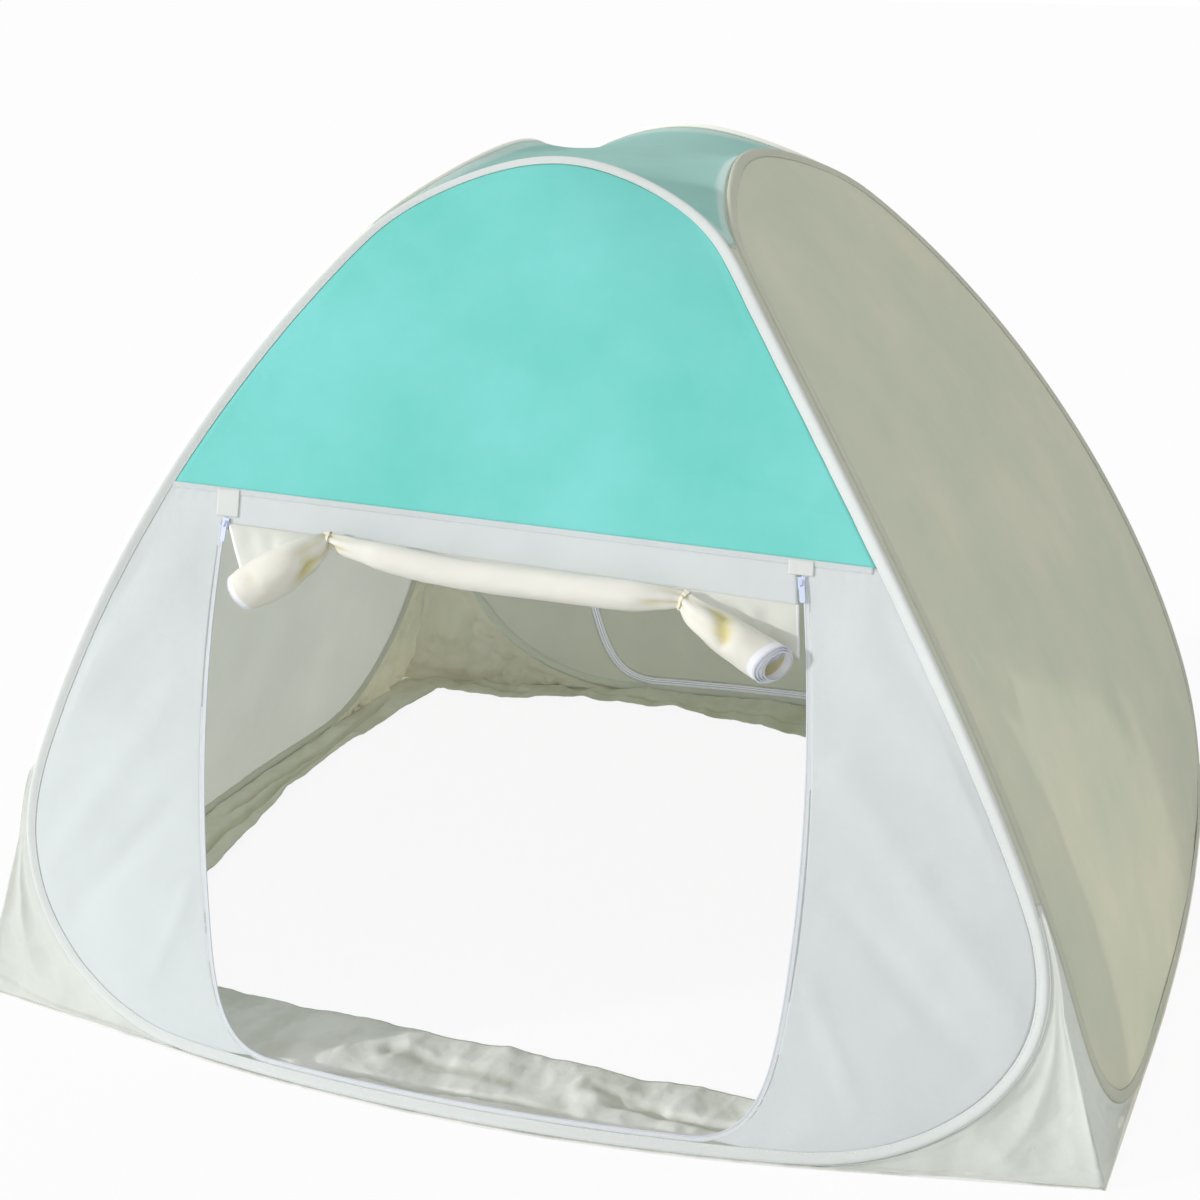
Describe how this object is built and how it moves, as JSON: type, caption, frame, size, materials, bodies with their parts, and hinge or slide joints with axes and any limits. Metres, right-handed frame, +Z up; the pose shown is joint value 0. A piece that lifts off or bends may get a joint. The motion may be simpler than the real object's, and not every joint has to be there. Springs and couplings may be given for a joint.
{
  "type": "bed tent",
  "caption": "Pop-up bed tent: sprung hoops hold cloth walls over a bed, with a rolled-up zip door at the front, a closed zip door at the back, and an open base with a floor skirt.",
  "frame": {"origin": "on the floor, under the middle of the tent's footprint", "axes": "+Z up, +Y from the open front door to the back, +X to the right as seen from the front"},
  "size_m": [2.0306, 2.1508, 1.4525],
  "materials": {
    "teal_cloth": "light teal polyester, plain weave",
    "white_cloth": "white polyester, plain weave",
    "side_cloth": "pale greige polyester, plain weave",
    "roof_cloth": "thin teal polyester that lets light through",
    "binding": "white twill binding tape",
    "skirt_cloth": "pale greige polyester, unlined",
    "roll_cloth": "cream polyester, rolled",
    "zip_tape": "woven zip tape with a nylon coil",
    "zip_enamel": "bluish white enamel",
    "spring_steel": "bare spring steel wire"
  },
  "bodies": {
    "tent": {"back_header": "side_cloth", "back_hoop_sleeve": "binding", "back_hoop_wire": "spring_steel", "back_left_gusset": "skirt_cloth", "back_lower_panel_left": "side_cloth", "back_lower_panel_right": "side_cloth", "back_right_gusset": "skirt_cloth", "back_skirt": "skirt_cloth", "back_upper_panel": "side_cloth", "back_wire_ferrule": "spring_steel", "back_zip_frame_tape": "zip_tape", "front_header": "white_cloth", "front_hoop_sleeve": "binding", "front_hoop_wire": "spring_steel", "front_left_gusset": "skirt_cloth", "front_lower_panel_left": "white_cloth", "front_lower_panel_right": "white_cloth", "front_placket_left": "binding", "front_placket_right": "binding", "front_right_gusset": "skirt_cloth", "front_skirt": "skirt_cloth", "front_upper_panel": "teal_cloth", "front_wire_ferrule": "spring_steel", "front_zip_frame_tape": "zip_tape", "left_hoop_sleeve": "binding", "left_hoop_wire": "spring_steel", "left_panel": "side_cloth", "left_skirt": "skirt_cloth", "left_wire_ferrule": "spring_steel", "right_hoop_sleeve": "binding", "right_hoop_wire": "spring_steel", "right_panel": "side_cloth", "right_skirt": "skirt_cloth", "right_wire_ferrule": "spring_steel", "roof": "roof_cloth"},
    "front_roll": {"front_door_roll": "roll_cloth", "front_tie_left": "binding", "front_tie_right": "binding"},
    "back_flap": {"back_door": "side_cloth", "back_zip_door_tape": "zip_tape", "back_tie_left": "binding", "back_tie_right": "binding"},
    "front_left_slider": {"front_left_zip_slider": "zip_enamel"},
    "front_left_pull": {"front_left_zip_pull": "zip_enamel"},
    "front_right_slider": {"front_right_zip_slider": "zip_enamel"},
    "front_right_pull": {"front_right_zip_pull": "zip_enamel"},
    "back_left_slider": {"back_left_zip_slider": "zip_enamel"},
    "back_left_pull": {"back_left_zip_pull": "zip_enamel"},
    "back_right_slider": {"back_right_zip_slider": "zip_enamel"},
    "back_right_pull": {"back_right_zip_pull": "zip_enamel"}
  },
  "joints": [
    {"name": "front_roll_swing", "type": "hinge", "parent": "tent", "child": "front_roll", "pos_m": [-0.04581, -0.78934, 0.86725], "axis": [-1, 0, 0], "range_deg": [0, 9]},
    {"name": "back_flap_swing", "type": "hinge", "parent": "tent", "child": "back_flap", "pos_m": [-0.04445, 0.79534, 0.85006], "axis": [1, 0, 0], "range_deg": [0, 80]},
    {"name": "front_left_zip_travel", "type": "hinge", "parent": "tent", "child": "front_left_slider", "pos_m": [1.77079, 0.64762, 0.25565], "axis": [0.559, -0.7854, 0.2658], "range_deg": [0, 12.3]},
    {"name": "front_left_pull_flip", "type": "hinge", "parent": "front_left_slider", "child": "front_left_pull", "pos_m": [-0.53835, -0.79452, 0.86577], "axis": [-0.9973, 0.0721, 0.0102], "range_deg": [0, 170]},
    {"name": "front_right_zip_travel", "type": "hinge", "parent": "tent", "child": "front_right_slider", "pos_m": [-1.5288, 0.063, 0.1587], "axis": [0.4527, 0.8628, -0.225], "range_deg": [0, 15.2]},
    {"name": "front_right_pull_flip", "type": "hinge", "parent": "front_right_slider", "child": "front_right_pull", "pos_m": [0.44732, -0.79454, 0.86581], "axis": [-0.9815, -0.1145, -0.1538], "range_deg": [0, 170]},
    {"name": "back_left_zip_travel", "type": "hinge", "parent": "tent", "child": "back_left_slider", "pos_m": [1.77079, -0.64762, 0.25565], "axis": [-0.559, -0.7854, -0.2658], "range_deg": [0, 12.3]},
    {"name": "back_left_pull_flip", "type": "hinge", "parent": "back_left_slider", "child": "back_left_pull", "pos_m": [-0.53769, 0.78487, 0.86223], "axis": [-0.9973, -0.0721, 0.0102], "range_deg": [0, 170]},
    {"name": "back_right_zip_travel", "type": "hinge", "parent": "tent", "child": "back_right_slider", "pos_m": [-1.5288, -0.063, 0.1587], "axis": [-0.4527, 0.8628, 0.225], "range_deg": [0, 15.2]},
    {"name": "back_right_pull_flip", "type": "hinge", "parent": "back_right_slider", "child": "back_right_pull", "pos_m": [0.44676, 0.78492, 0.86219], "axis": [-0.9815, 0.1145, -0.1538], "range_deg": [0, 170]}
  ]
}
